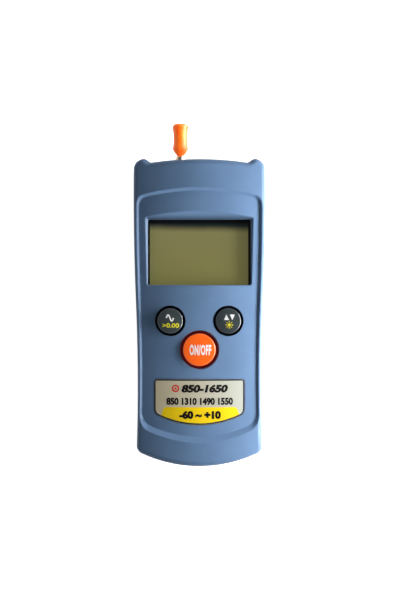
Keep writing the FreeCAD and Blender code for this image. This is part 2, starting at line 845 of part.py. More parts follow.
def label_plate():
    skin = crown(panel_sink + label_sink - label_thick).cut(crown(panel_sink + label_sink))
    return label_solid(0, parting_z, sky).common(skin)


def cell_x(index):
    return (index - 1) * cell_pitch


def diode_legs():
    """The detector's three legs, run back and bent up through the board."""
    legs = []
    r = diode_leg_radius
    for i in (-1, 0, 1):
        x = port_x + i * diode_leg_pitch
        run = rod_y(r, diode_leg_y, diode_rear_y + diode_leg_root, x)
        riser = rod(r, x, diode_leg_y, parting_z, board_top + diode_leg_proud)
        knee = Part.makeSphere(r, V(x, diode_leg_y, parting_z))
        legs += [run, riser, knee]
    return legs


def main_board():
    points = [
        (-board_half, board_top_y), (board_half, board_top_y), (board_half, board_neck_y),
        (board_neck_half, board_neck_y), (board_neck_half, board_low_y), (-board_neck_half, board_low_y),
        (-board_neck_half, board_neck_y), (-board_half, board_neck_y), (-board_half, board_top_y),
    ]
    wire = Part.Wire(polyline([(x, y, board_under) for x, y in points]))
    board = Part.Face(wire).extrude(V(0, 0, board_thick))
    cuts = []
    low, high = board_under - over, board_top + over
    for x, y in board_posts():
        cuts.append(rod(board_screw_radius + screw_hole_gap, x, y, low, high))
    for i in (-1, 0, 1):
        x = port_x + i * diode_leg_pitch
        cuts.append(rod(diode_leg_radius + diode_leg_hole_gap, x, diode_leg_y, low, high))
    return board.cut(cuts + tab_slots(low, high))


def rod_between(radius, ya, yb, x, z):
    """A rod along Y between two ends given in either order."""
    return rod_y(radius, min(ya, yb), max(ya, yb), x, z)


def cells():
    """Three cells side by side, the middle one turned round."""
    made = []
    gap = contact_thick + contact_dimple + contact_play
    for i, up in enumerate((1, -1, 1)):
        tip = bay_top_y - gap if up > 0 else bay_low_y + gap
        shoulder = tip - up * cell_nub_long
        can = rod_between(cell_radius, shoulder, tip - up * cell_long, cell_x(i), cell_z)
        can = can.makeChamfer(cell_rim, [e for e in can.Edges if isinstance(e.Curve, Part.Circle)])
        nub = rod_between(cell_nub_radius, tip, shoulder - up * cell_nub_long, cell_x(i), cell_z)
        made.append(can.fuse(nub).removeSplitter())
    return made


def end_plate(index, up, half, z0, z1):
    """A flat piece of contact metal on the bay's upper or lower end wall."""
    x = cell_x(index)
    wall_y = bay_top_y if up > 0 else bay_low_y
    ends = sorted((wall_y, wall_y - up * contact_thick))
    return block(x - half, x + half, ends[0], ends[1], z0, z1)


def contact(index, up, plus):
    """A contact plate on the bay's end wall: a dimple for plus, a bowed leaf for minus."""
    x = cell_x(index)
    face_y = bay_top_y - contact_thick if up > 0 else bay_low_y + contact_thick
    z0, z1 = cell_z - contact_tall / 2, cell_z + contact_tall / 2
    plate = end_plate(index, up, contact_half, z0, z1)
    if plus:
        tip = face_y - up * contact_dimple
        return plate.fuse(rod_between(contact_dimple_radius, tip, face_y, x, cell_z))
    a, b = z0 + leaf_in, z1 - leaf_in
    t = contact_thick
    crest = face_y - up * leaf_bow
    edges = [
        arc((x, face_y, a), (x, crest, cell_z), (x, face_y, b)),
        line((x, face_y, b), (x, face_y, b - t)),
        arc((x, face_y, b - t), (x, crest + up * t, cell_z), (x, face_y, a + t)),
        line((x, face_y, a + t), (x, face_y, a)),
    ]
    leaf = Part.Face(Part.Wire(edges)).extrude(V(2 * leaf_half, 0, 0))
    leaf.translate(V(-leaf_half, 0, 0))
    return plate.fuse(leaf)


def contact_tab(index, up):
    """The tongue that runs up from a contact plate into its slot in the board."""
    return end_plate(index, up, tab_half, cell_z, board_top - tab_sunk)


def contact_bridge(first, second, up):
    """The strip that joins two contact plates on one end wall."""
    half = (cell_x(second) - cell_x(first)) / 2
    return end_plate((first + second) / 2, up, half, cell_z - bridge_half, cell_z + bridge_half)


def contacts():
    upper = [contact(1, 1, False), contact(2, 1, True), contact_bridge(1, 2, 1)]
    lower = [contact(0, -1, False), contact(1, -1, True), contact_bridge(0, 1, -1)]
    return {
        "contact_positive": fuse_all([contact(0, 1, True), contact_tab(0, 1)]),
        "contact_link_upper": fuse_all(upper),
        "contact_link_lower": fuse_all(lower),
        "contact_negative": fuse_all([contact(2, -1, False), contact_tab(2, -1)]),
    }


def port_parts():
    z = parting_z
    x = port_x
    sleeve_room = sleeve_outer + sleeve_gap
    diode_room = diode_radius + diode_gap
    flange_end = port_flange_y + port_flange_thick
    profile = [
        (sleeve_room, sleeve_end), (plug_bore, sleeve_end),
        (plug_bore, port_tip_y - port_lip), (plug_bore + port_lip, port_tip_y),
        (port_tip_radius - port_lip / 2, port_tip_y), (port_tip_radius, port_tip_y - port_lip),
        (port_nose_radius, port_thread_end), (port_body_radius - port_chamfer, port_thread_end),
        (port_body_radius, port_thread_end - port_chamfer), (port_body_radius, flange_end),
        (port_flange_radius, flange_end), (port_flange_radius, port_flange_y),
        (port_body_radius, port_flange_y), (port_body_radius, port_rear_y),
        (diode_room, port_rear_y), (diode_room, sleeve_start), (sleeve_room, sleeve_start),
    ]
    loop = [(x + r, y, z) for r, y in profile]
    port_body = turned(polyline(loop + loop[:1]), x, 0, z, V(0, 1, 0))
    tube = rod_y(sleeve_outer, sleeve_start, sleeve_end)
    tube = tube.cut(rod_y(sleeve_bore, sleeve_start - over, sleeve_end + over))
    corner = nut_flats / math.sqrt(3)
    turns = [math.radians(60 * k) for k in range(6)]
    hexagon = [(x + corner * math.cos(a), port_seat_y, z + corner * math.sin(a)) for a in turns]
    nut = Part.Face(Part.Wire(polyline(hexagon + hexagon[:1]))).extrude(V(0, nut_thick, 0))
    nut = nut.cut(rod_y(port_body_radius + nut_gap, port_seat_y - over, port_seat_y + nut_thick + over))
    diode = fuse_all([rod_y(diode_radius, diode_rear_y, sleeve_start)] + diode_legs())
    return {"port_body": port_body, "ferrule_sleeve": tube, "port_nut": nut, "photodiode": diode}


def dust_cap():
    x, z = port_x, parting_z
    pin = plug_bore - cap_pin_gap
    pin_end = port_tip_y - cap_pin_deep
    ring = port_tip_y + cap_ring_up
    bulge = ring + cap_ring_wide
    top = port_tip_y + cap_long
    crest = top - cap_top_drop
    end = cap_top_radius - cap_top_round
    rim = top - cap_top_bow
    neck = arc((x + cap_neck_radius, port_tip_y + cap_neck_long, z),
               (x + cap_collar_radius - cap_collar_soft, port_tip_y + (cap_neck_long + cap_ring_up) / 2, z),
               (x + cap_collar_radius, ring - cap_groove, z))
    foot_y0 = port_tip_y + cap_foot_gap
    foot = polyline([
        (x, top, z), (x, pin_end, z), (x + pin - cap_pin_soft, pin_end, z),
        (x + pin, pin_end + cap_pin_soft, z), (x + pin, foot_y0, z), (x + cap_neck_radius, foot_y0, z),
        (x + cap_neck_radius, port_tip_y + cap_neck_long, z),
    ])
    step = polyline([
        (x + cap_collar_radius, ring - cap_groove, z), (x + cap_collar_radius, ring, z),
        (x + cap_bulge_radius - cap_groove, ring, z), (x + cap_bulge_radius, ring + cap_groove, z),
        (x + cap_bulge_radius, bulge, z),
    ])
    flank = arc((x + cap_bulge_radius, bulge, z), (x + cap_waist_radius, (bulge + crest) / 2, z),
                (x + cap_top_radius, crest, z))
    soft = cap_top_round / 4
    edge = arc((x + cap_top_radius, crest, z), (x + cap_top_radius - soft, (crest + rim) / 2 + soft / 2, z),
               (x + end, rim, z))
    dome = arc((x + end, rim, z), (x + end / 2, top - cap_bow(end, cap_top_bow, end / 2), z), (x, top, z))
    return turned(foot + [neck] + step + [flank, edge, dome], x, 0, z, V(0, 1, 0))


def screw(x, y, z_head, z_tip, radius, head, head_high):
    """A screw pointing up, with a bevelled head and a cross slot in it."""
    shank = rod(radius, x, y, z_head, z_tip - radius)
    point = Part.makeCone(radius, radius / 3, radius, V(x, y, z_tip - radius))
    crown_high = head_high / 3
    disc = rod(head, x, y, z_head - head_high + crown_high, z_head)
    top = Part.makeCone(head - crown_high, head, crown_high, V(x, y, z_head - head_high))
    slot_end = z_head - head_high / 2
    long, half = head / 2, slot_wide / 2
    slots = [block(x - long, x + long, y - half, y + half, z_head - head_high - over, slot_end),
             block(x - half, x + half, y - long, y + long, z_head - head_high - over, slot_end)]
    return fuse_all([shank, point, disc, top]).cut(slots)


def case_screws():
    return Part.makeCompound([
        screw(x, y, case_screw_sink, parting_z + case_screw_bite, case_screw_radius, case_screw_head,
              case_screw_head_high) for x, y in case_bosses()])


def board_screws():
    return Part.makeCompound([
        screw(x, y, board_under, board_top + board_screw_bite, board_screw_radius, board_screw_head,
              board_screw_head_high) for x, y in board_posts()])


def legs_along(x0, y0, dx, dy, count, pitch, z):
    """A row of flat chip legs, each reaching out along (dx, dy)."""
    made = []
    half = chip_leg_wide / 2
    for i in range(count):
        step = (i - (count - 1) / 2) * pitch
        cx = x0 + (step if dy else 0)
        cy = y0 + (step if dx else 0)
        xa, xb = (cx - half, cx + half) if dy else sorted((cx - dx * half, cx + dx * chip_leg_out))
        ya, yb = (cy - half, cy + half) if dx else sorted((cy - dy * half, cy + dy * chip_leg_out))
        made.append(block(xa, xb, ya, yb, z, z + chip_leg_thick))
    return made


def box_under(x, y, long, wide, high):
    """x0, x1, y0, y1, z0, z1 of a box that hangs under the board."""
    return (x - long / 2, x + long / 2, y - wide / 2, y + wide / 2, board_under - high, board_under)


def board_parts():
    half = chip_side / 2
    chip = [block(-half, half, chip_y - half, chip_y + half, board_top, board_top + chip_high)]
    pitch = chip_side / (chip_legs + 1)
    for dx, dy in ((1, 0), (-1, 0), (0, 1), (0, -1)):
        chip += legs_along(dx * half, chip_y + dy * half, dx, dy, chip_legs, pitch, board_top)
    amps = []
    for y in amp_y:
        body = [block(*box_under(amp_x, y, amp_wide, amp_long, amp_high))]
        for dx in (-1, 1):
            body += legs_along(amp_x + dx * amp_wide / 2, y, dx, 0, amp_legs, amp_leg_pitch,
                               board_under - chip_leg_thick)
        amps.append(fuse_all(body))
    outside = box_under(port_x, shield_y, shield_wide, shield_long, shield_high)
    can = rounded_plate(*outside, shield_round)
    x0, x1, y0, y1, z0, z1 = outside
    t = shield_wall
    can = can.cut(block(x0 + t, x1 - t, y0 + t, y1 - t, z0 + t, z1 + over))
    buzzer_y = bay_top_y + buzzer_up
    buzzer_end = board_under - buzzer_high
    buzzer = rod(buzzer_radius, buzzer_x, buzzer_y, buzzer_end, board_under)
    hole_end = buzzer_end + buzzer_hole_deep
    buzzer = buzzer.cut(rod(buzzer_hole, buzzer_x, buzzer_y, buzzer_end - over, hole_end))
    outside = box_under(crystal_x, bay_top_y + crystal_up, crystal_long, crystal_wide, crystal_high)
    crystal = rounded_plate(*outside, crystal_wide * crystal_round)
    capacitor = rod(capacitor_radius, capacitor_x, bay_top_y + capacitor_up, board_under - capacitor_high,
                    board_under)
    return {
        "microcontroller": fuse_all(chip),
        "amplifier_chips": Part.makeCompound(amps),
        "shield_can": can,
        "buzzer": buzzer,
        "crystal": crystal,
        "capacitor": capacitor,
    }


def build():
    blank = rear_blank()
    nodes = {
        "front_case": front_case(),
        "rear_case": rear_case(blank),
        "battery_door": battery_door(blank),
        "label_plate": label_plate(),
        "main_board": main_board(),
        "dust_cap": dust_cap(),
        "case_screws": case_screws(),
        "board_screws": board_screws(),
        "switch_bases": Part.makeCompound([switch_base(x, y) for x, y, _, _ in keys().values()]),
    }
    for name, (x, y, radius, gap) in keys().items():
        nodes["key_" + name] = key_cap(x, y, radius, gap)
        nodes["plunger_" + name] = plunger(x, y)
    for number, cell in enumerate(cells(), 1):
        nodes["battery_%d" % number] = cell
    for group in (display_parts(), contacts(), port_parts(), board_parts()):
        nodes.update(group)
    return nodes


os.makedirs("parts", exist_ok=True)
for name, shape in build().items():
    shape.exportStep("parts/%s.step" % name)
    state = "valid" if shape.isValid() else "INVALID"
    print(name, len(shape.Solids), "solids", round(shape.Volume, 1), "mm3", state)
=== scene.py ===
import bpy
import bmesh
import math
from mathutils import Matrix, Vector
from mathutils.bvhtree import BVHTree


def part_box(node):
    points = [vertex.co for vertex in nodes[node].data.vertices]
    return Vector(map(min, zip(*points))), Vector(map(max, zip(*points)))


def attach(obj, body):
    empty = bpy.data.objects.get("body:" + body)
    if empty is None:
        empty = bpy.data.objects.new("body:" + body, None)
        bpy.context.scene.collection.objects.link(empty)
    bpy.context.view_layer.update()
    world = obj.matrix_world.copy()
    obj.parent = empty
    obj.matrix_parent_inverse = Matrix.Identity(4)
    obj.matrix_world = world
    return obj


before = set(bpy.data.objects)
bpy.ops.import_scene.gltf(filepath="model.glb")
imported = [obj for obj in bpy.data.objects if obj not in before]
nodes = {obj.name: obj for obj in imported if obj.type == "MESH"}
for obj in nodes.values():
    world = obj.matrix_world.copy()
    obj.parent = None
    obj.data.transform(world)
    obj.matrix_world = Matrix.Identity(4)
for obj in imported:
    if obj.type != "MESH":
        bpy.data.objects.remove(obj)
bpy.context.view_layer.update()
mm = 0.001                     # Blender's unit is the metre
tiny = 1e-7                    # points nearer than this are one
print("frame loaded:", len(nodes), "nodes")


def newObject(name, data):
    made = bpy.data.objects.new(name, data)
    bpy.context.scene.collection.objects.link(made)
    return made


# shader kit: a value that takes plain maths, a tree of nodes, and a finish

class Value:
    # one shader socket; plain Python maths on it adds Math nodes
    def __init__(self, shading, socket):
        self.shading = shading
        self.socket = socket

    def maths(self, operation, *terms):
        return self.shading.add("ShaderNodeMath", {"operation": operation}, dict(enumerate(terms)))

    def __add__(self, other):
        return self.maths("ADD", self, other)

    def __sub__(self, other):
        return self.maths("SUBTRACT", self, other)

    def __rsub__(self, other):
        return self.maths("SUBTRACT", other, self)

    def __mul__(self, other):
        return self.maths("MULTIPLY", self, other)

    def __abs__(self):
        return self.maths("ABSOLUTE", self)

    def atLeast(self, other):
        return self.maths("MAXIMUM", self, other)

    def over(self, edge, soft):
        # 0 below the edge and 1 above it, with a soft step
        return self.shading.add("ShaderNodeMapRange", {"interpolation_type": "SMOOTHSTEP"},
                                {"Value": self, "From Min": edge - soft, "From Max": edge + soft})

    __radd__ = __add__
    __rmul__ = __mul__


class Shading:
    # a tree of shader nodes; add makes every node, first its settings and then its sockets
    def __init__(self, tree):
        self.tree = tree

    def add(self, kind, settings=None, inputs=None, output=0):
        node = self.tree.nodes.new(kind)
        for key, value in (settings or {}).items():
            setattr(node, key, value)
        for key, value in (inputs or {}).items():
            self.feed(node.inputs[key], value)
        return Value(self, node.outputs[output])

    def feed(self, socket, value):
        if isinstance(value, Value):
            self.tree.links.new(value.socket, socket)
        elif isinstance(value, tuple) and len(value) == 3 and len(socket.default_value) == 4:
            socket.default_value = (*value, 1)
        else:
            socket.default_value = value

    def split(self, vector):
        first = self.add("ShaderNodeSeparateXYZ", inputs={"Vector": vector})
        return [Value(self, out) for out in first.socket.node.outputs]

    def mix(self, factor, first, second):
        # in this node 0 is the factor, 6 and 7 are the colours, and output 2 is their mix
        return self.add("ShaderNodeMix", {"data_type": "RGBA"}, {0: factor, 6: first, 7: second}, 2)


class Finish(Shading):
    # a material with one Principled shader; constants go straight on its sockets
    def __init__(self, name, **constants):
        self.material = bpy.data.materials.new(name)
        self.material.use_nodes = True
        super().__init__(self.material.node_tree)
        self.shader = self.tree.nodes["Principled BSDF"]
        self.put(**constants)
        self.where = self.add("ShaderNodeTexCoord", output="Object")

    def put(self, **values):
        for key, value in values.items():
            self.feed(self.shader.inputs[key.replace("_", " ")], value)

    def xyz(self):
        return self.split(self.where)

    def noise(self, size, detail=2.0, rough=0.5):
        # size of one blotch in mm
        return self.add("ShaderNodeTexNoise", inputs={"Vector": self.where, "Scale": 1 / (size * mm),
                                                      "Detail": detail, "Roughness": rough})

    def cloud(self, size):
        return self.noise(size, 3.0, 0.6)

    def mottled(self, size, low, high, soft=0.3):
        # a cloud, and two tones that it blends
        cloud = self.cloud(size)
        return cloud, self.mix(cloud.over(0.5, soft), low, high)

    def bump(self, height, strength, dent):
        return self.add("ShaderNodeBump", inputs={"Height": height, "Strength": strength,
                                                  "Distance": dent * mm})

    def facing(self, *direction):
        # how squarely the surface looks in a direction, from -1 to 1
        normal = self.add("ShaderNodeTexCoord", output="Normal")
        return self.add("ShaderNodeVectorMath", {"operation": "DOT_PRODUCT"}, {0: normal, 1: direction},
                        "Value")


def srgb(red, green, blue):
    # screen colour, 0 to 255, as linear light
    def one(c):
        c = c / 255
        return c / 12.92 if c <= 0.04045 else ((c + 0.055) / 1.055) ** 2.4
    return (one(red), one(green), one(blue))


def toned(colour, factor):
    return tuple(min(1, c * factor) for c in colour)


# finishes: sizes in mm; a tone is a factor on the colour, and a dent is how deep the bump is

caseLook = {
    "front": srgb(103, 133, 170),
    "frontRough": 0.44,
    "rear": srgb(98, 127, 163),
    "rearRough": 0.5,
    "gloss": 0.3,
    "flowSize": 14,            # slight flow marks in colour and gloss
    "flowTint": 0.06,
    "flowSoft": 0.28,
    "grainSize": 0.28,         # spark-eroded grain, with darker specks
    "grainDent": 0.02,
    "grainBump": 0.35,
    "speckFrom": 0.62, "speckSoft": 0.1,
    "speckTone": 0.72,
    "speckShare": 0.25,
    "shadeTone": 0.15,         # tone of the painted shade
}
slopeShade = {                 # painted shade on the slope above the display
    "low": 38.6, "high": 44.0, "half": 22.6,   # where the slope lies
    "soft": 0.2,
    "lean": 0.6,               # how far its faces turn towards the keys, where 1 is fully
    "leanSoft": 0.06,
    "rise": 3.4,               # up from the window pane, where the shade ends
    "depth": 0.85,
}
leftShade = {                  # painted shade on walls near the left edge that look inwards
    "leftOf": -20.2, "leftSoft": 0.3,
    "below": 55, "belowSoft": 1,
    "lean": 0.3,
    "leanSoft": 0.2,
    "depth": 0.45,
}


# painted shade: the slope above the display darkens towards the window pane
def paintedSlopeShadeMask(f, pane):
    look = slopeShade
    x, y, z = f.xyz()
    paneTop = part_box(pane)[1][2]
    rise = look["rise"] / 2 * mm
    soft = look["soft"] * mm
    near = 1 - z.over(paneTop + rise, rise)
    on = y.over(look["low"] * mm, soft) * (1 - y.over(look["high"] * mm, soft))
    on = on * (look["half"] * mm - abs(x)).over(0, soft * 2)
    return near * on * f.facing(0, -1, 0).over(look["lean"], look["leanSoft"]) * look["depth"]


# painted shade: walls near the left edge that face inwards are darkened
def paintedLeftShadeMask(f):
    look = leftShade
    x, y, _ = f.xyz()
    on = 1 - x.over(look["leftOf"] * mm, look["leftSoft"] * mm)
    on = on * (1 - y.over(look["below"] * mm, look["belowSoft"] * mm))
    return on * f.facing(1, 0, 0).over(look["lean"], look["leanSoft"]) * look["depth"]


def mouldedPlastic(name, colour, rough, pane=None):
    look = caseLook
    f = Finish(name, Specular_IOR_Level=look["gloss"])
    flow, tone = f.mottled(look["flowSize"], toned(colour, 1 - look["flowTint"]),
                           toned(colour, 1 + look["flowTint"]), look["flowSoft"])
    fine = f.noise(look["grainSize"], rough=0.55)
    specks = fine.over(look["speckFrom"], look["speckSoft"]) * look["speckShare"]
    tone = f.mix(specks, tone, toned(colour, look["speckTone"]))
    # painted shade on the slope above the display and on the inward walls at the left
    if pane:
        shade = toned(colour, look["shadeTone"])
        tone = f.mix(paintedSlopeShadeMask(f, pane), tone, shade)
        tone = f.mix(paintedLeftShadeMask(f), tone, shade)
    f.put(Base_Color=tone, Roughness=fine * 0.1 + flow * 0.08 + (rough - 0.09),
          Normal=f.bump(fine, look["grainBump"], look["grainDent"]))
    return f.material


keyLook = {
    "dark": srgb(50, 60, 63),
    # the slot colours are painted shade on the flange down in the slot round the cap
    "darkSlotShade": srgb(3, 5, 10),
    "darkRough": 0.36,
    "orange": srgb(255, 98, 2),
    "orangeSlotShade": srgb(112, 26, 22),
    "orangeRough": 0.34,
    "orangePaintedGlow": 0.25,        # painted glow: the key gives light of its own, which keeps the orange pure where the key turns from the light
    "ceramic": srgb(236, 233, 224),
    "ceramicRough": 0.15,
    "gloss": 0.5,
    "coatRough": 0.22,
    "coatIor": 1.7,
    "flowSize": 2.2,
    "flowTint": 0.07,
    "grainSize": 0.12,
    "grainDent": 0.008,
    "grainBump": 0.12,
    "slotDepth": 1.1,          # down from the top of a cap, where the slot is painted dark as shade
    "slotSoft": 0.1,
    "slotDull": 0.3,           # more roughness there, and no coat
}


def keyPlastic(name, colour, rough, node=None, slot=None, paintedGlow=0.0):
    # smooth pressed cap; its flange, down in the slot round the cap, is painted dark as shade
    look = keyLook
    f = Finish(name, Specular_IOR_Level=look["gloss"], Coat_Weight=1.0, Coat_Roughness=look["coatRough"],
               Coat_IOR=look["coatIor"], Emission_Strength=paintedGlow)
    flow, tone = f.mottled(look["flowSize"], toned(colour, 1 - look["flowTint"]),
                           toned(colour, 1 + look["flowTint"]))
    fine = f.noise(look["grainSize"])
    gloss = flow * 0.08 + fine * 0.05 + (rough - 0.06)
    if node:
        z = f.xyz()[2]
        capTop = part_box(node)[1][2]
        # painted shade: below the slot depth the flange takes the dark slot colour
        deep = 1 - z.over(capTop - look["slotDepth"] * mm, look["slotSoft"] * mm)
        tone = f.mix(deep, tone, slot)
        gloss = gloss + deep * look["slotDull"]
        f.put(Coat_Weight=1 - deep)
    f.put(Base_Color=tone, Roughness=gloss, Normal=f.bump(fine, look["grainBump"], look["grainDent"]))
    # painted glow, in the key's own colour
    if paintedGlow:
        f.put(Emission_Color=tone)
    return f.material


plugLook = {
    "colour": srgb(255, 130, 34),
    "deep": srgb(255, 104, 10),
    "rough": 0.3,
    "through": 0.6,            # share of the light that goes in
    "reach": (4, 1.2, 0.3),    # how far, for red, green and blue
    # painted glow: the cap gives light of its own
    "paintedGlow": 0.38,
    "flowSize": 3.5,
    "grainSize": 0.2,
    "grainDent": 0.015,
    "grainBump": 0.2,
}


def plugPlastic():
    # waxy polyethylene: a little light goes through, so thin parts look warmer, and a painted glow adds
    # light of its own
    look = plugLook
    f = Finish("plugOrange", Subsurface_Weight=look["through"], Subsurface_Scale=1.0,
               Subsurface_Radius=tuple(c * mm for c in look["reach"]), Emission_Strength=look["paintedGlow"])
    flow, tone = f.mottled(look["flowSize"], look["deep"], look["colour"])
    fine = f.noise(look["grainSize"])
    f.put(Base_Color=tone, Emission_Color=f.mix(0.5, tone, look["deep"]),
          Roughness=flow * 0.12 + look["rough"],
          Normal=f.bump(fine, look["grainBump"], look["grainDent"]))
    return f.material


metalLook = {
    "nickel": srgb(216, 200, 176),
    "nickelRough": 0.32,
    "steel": srgb(190, 190, 192),
    "steelRough": 0.34,
    "flowSize": 1.6,
    "flowTone": 0.86,
    "pitSize": 0.25,
    "pitDent": 0.01,
    "pitBump": 0.15,
}


def platedMetal(name, colour, rough):
    look = metalLook
    f = Finish(name, Metallic=1.0)
    flow, tone = f.mottled(look["flowSize"], toned(colour, look["flowTone"]), colour)
    pits = f.cloud(look["pitSize"])
    f.put(Base_Color=tone, Roughness=flow * 0.14 + pits * 0.08 + (rough - 0.1),
          Normal=f.bump(pits, look["pitBump"], look["pitDent"]))
    return f.material


matteLook = {                  # colour, roughness and grain size of each plain plastic or rubber
    "blackMatt": (srgb(20, 21, 23), 0.55, 0.4),
    "rubberBlack": (srgb(26, 26, 27), 0.75, 0.4),
    "milkyDiffuser": (srgb(222, 222, 212), 0.5, 0.4),
    "chipBlack": (srgb(30, 31, 33), 0.5, 0.2),
}
matteFlow = {"size": 6, "lowTone": 0.85, "highTone": 1.1}
matteGrain = {"dent": 0.02, "bump": 0.3}


def mattePlastic(name):
    colour, rough, grain = matteLook[name]
    f = Finish(name)
    _, tone = f.mottled(matteFlow["size"], toned(colour, matteFlow["lowTone"]),
                        toned(colour, matteFlow["highTone"]))
    fine = f.noise(grain, rough=0.55)
    f.put(Base_Color=tone, Roughness=fine * 0.16 + (rough - 0.08),
          Normal=f.bump(fine, matteGrain["bump"], matteGrain["dent"]))
    return f.material


cellLook = {
    "jacket": srgb(40, 42, 47),                # charcoal sleeve
    "crown": srgb(205, 128, 70),               # copper band at the plus end
    "can": srgb(206, 206, 208),                # bare steel ends
    "crownLong": 13.0,         # from the plus pole
    "rimLong": 1.5,            # bare steel at either end
    "crownSoft": 0.1, "rimSoft": 0.05,
    "metal": 0.85,
    "rough": 0.28,
    "grainSize": 0.3,
    "grainDent": 0.01,
    "grainBump": 0.1,
    "flowSize": 5,
    "plusUp": {"battery_1": True, "battery_2": False, "battery_3": True},   # pole towards the port
}


def cellFinish(node, plusUp):
    # printed steel jacket with a copper band at the plus end
    look = cellLook
    f = Finish(node + "Jacket", Metallic=look["metal"])
    y = f.xyz()[1]
    low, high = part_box(node)
    fromPlus = high[1] - y if plusUp else y - low[1]
    cellLong = high[1] - low[1]
    rim = look["rimLong"] * mm
    soft = look["rimSoft"] * mm
    fine = f.cloud(look["grainSize"])
    flow = f.noise(look["flowSize"])
    beyondCrown = fromPlus.over(look["crownLong"] * mm, look["crownSoft"] * mm)
    tone = f.mix(beyondCrown, look["crown"], look["jacket"])
    ends = 1 - fromPlus.over(rim, soft) + fromPlus.over(cellLong - rim / 2, soft)
    f.put(Base_Color=f.mix(ends, tone, look["can"]), Roughness=fine * 0.1 + flow * 0.1 + look["rough"],
          Normal=f.bump(fine, look["grainBump"], look["grainDent"]))
    return f.material


boardLook = {
    "mask": srgb(18, 88, 48),
    "track": srgb(46, 132, 74),
    "trackPitch": 3.2,
    "trackHalf": 0.06,         # half a track's width, in pitches
    "trackShow": 0.6,
    "weaveSize": 0.5,
    "rough": 0.28,
    "dent": 0.03,
    "bump": 0.25,
}


def boardFinish():
    # green solder mask over faint copper tracks
    look = boardLook
    f = Finish("boardGreen", Specular_IOR_Level=0.5)
    weave = f.noise(look["weaveSize"])
    tracks = f.add("ShaderNodeTexVoronoi", {"feature": "DISTANCE_TO_EDGE"},
                   {"Vector": f.where, "Scale": 1 / (look["trackPitch"] * mm)})
    line = 1 - tracks.over(look["trackHalf"], look["trackHalf"] / 2)
    f.put(Base_Color=f.mix(line * look["trackShow"], look["mask"], look["track"]),
          Roughness=weave * 0.15 + look["rough"],
          Normal=f.bump(line + weave * 0.2, look["bump"], look["dent"]))
    return f.material


displayGlass = {
    "lit": srgb(119, 114, 75),                 # resting crystal, olive
    "low": srgb(115, 111, 66),                 # a shade yellower towards the keys
    "edge": srgb(100, 100, 64),                # greener along the sides
    "dark": srgb(5, 19, 26),                   # painted shadow that the housing casts on the sunk glass
    "clearFrom": 33.2,         # foot of the painted shadow at the upper end
    "shadowFrom": 37.2,
    "shadowTilt": 0.015,         # the painted shadow reaches lower at the right
    "shadowWaver": 0.8,
    "cloudSize": 11,
    "lowSoft": 14,             # how gently low turns into lit
    "edgeFrom": 0.86, "edgeSoft": 0.16,        # in half widths of the glass
    "edgeShow": 0.6, "cloudShow": 0.18,
    "dot": 0.42,               # pitch of the fine cell pattern
    "dotShow": 0.08,
    "gloss": 0.12,
    "rough": 0.4,
    "paintedGlow": 0.6,               # painted glow: the crystal gives light of its own, lifting it and softening the window's shadow on it
}


def lcdFinish():
    # unlit liquid-crystal glass: olive, with a painted shadow at its upper end and a faint grid of cells
    look = displayGlass
    f = Finish("lcdOlive", Specular_IOR_Level=look["gloss"], Emission_Strength=look["paintedGlow"])
    x, y, _ = f.xyz()
    low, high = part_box("lcd_glass")
    cloud = f.noise(look["cloudSize"], 3.0, 0.55)
    fine = f.noise(0.3)
    side = abs(x) * (2 / (high[0] - low[0]))
    tone = f.mix(y.over((low[1] + high[1]) / 2, look["lowSoft"] * mm), look["low"], look["lit"])
    edge = side.over(look["edgeFrom"], look["edgeSoft"]) * look["edgeShow"]
    tone = f.mix(edge + cloud * look["cloudShow"], tone, look["edge"])
    # painted shadow of the housing at the upper end of the glass
    centre = (look["clearFrom"] + look["shadowFrom"]) / 2 * mm
    reach = (look["shadowFrom"] - look["clearFrom"]) / 2 * mm
    height = y + x * look["shadowTilt"] + (cloud - 0.5) * (look["shadowWaver"] * mm)
    tone = f.mix(height.over(centre, reach), tone, look["dark"])
    cells = f.add("ShaderNodeTexVoronoi", {"distance": "CHEBYCHEV"},
                  {"Vector": f.where, "Scale": 1 / (look["dot"] * mm), "Randomness": 0.0})
    tone = f.mix(cells.over(0.42, 0.05) * look["dotShow"], tone, look["edge"])
    f.put(Base_Color=tone, Emission_Color=tone, Roughness=fine * 0.08 + look["rough"])
    return f.material


windowLook = {
    "tint": (0.95, 0.97, 0.96),
    "ior": 1.49,
    "mirror": 0.3,             # how much of its gloss is seen
    "rough": 0.03,
    "smearSize": 7,
}


def clearAcrylic():
    # clear window: light passes, and only its mirror gloss is seen, more at a slant
    look = windowLook
    f = Finish("clearAcrylic", Metallic=1.0, Base_Color=look["tint"])
    smear = f.cloud(look["smearSize"])
    slant = f.add("ShaderNodeFresnel", inputs={"IOR": look["ior"]})
    f.put(Roughness=smear * 0.06 + look["rough"], Alpha=slant * look["mirror"])
    return f.material


labelLook = {
    "bandTop": -39.6,          # upper edge of the yellow band
    "bandLeft": -14.8, "bandRight": 15.6,      # its ends at that edge
    "bandSlant": 0.32,         # how far the ends run out for each mm down
    "bandRound": 1.0,          # radius of its upper corners
    "band": srgb(255, 208, 6),
    "bandLight": srgb(255, 226, 12),
    "field": srgb(236, 222, 184),              # warm towards the left edge
    "fieldRight": srgb(200, 205, 194),
    "fieldDark": srgb(150, 146, 136),          # in the brushed streaks
    "streaks": (60, 2600, 60),                 # streaks per metre, long along the plate
    "fieldSoft": 24,           # how gently the film's colour turns across the plate
    "streakShow": 0.3,
    "foil": 0.12,              # how metallic the bare film is
    "gloss": 0.35,
    "rough": 0.3,
    "coat": 0.1, "coatRough": 0.2,
    "cloudSize": 5,
    "streakDent": 0.01,
    "streakBump": 0.08,
}


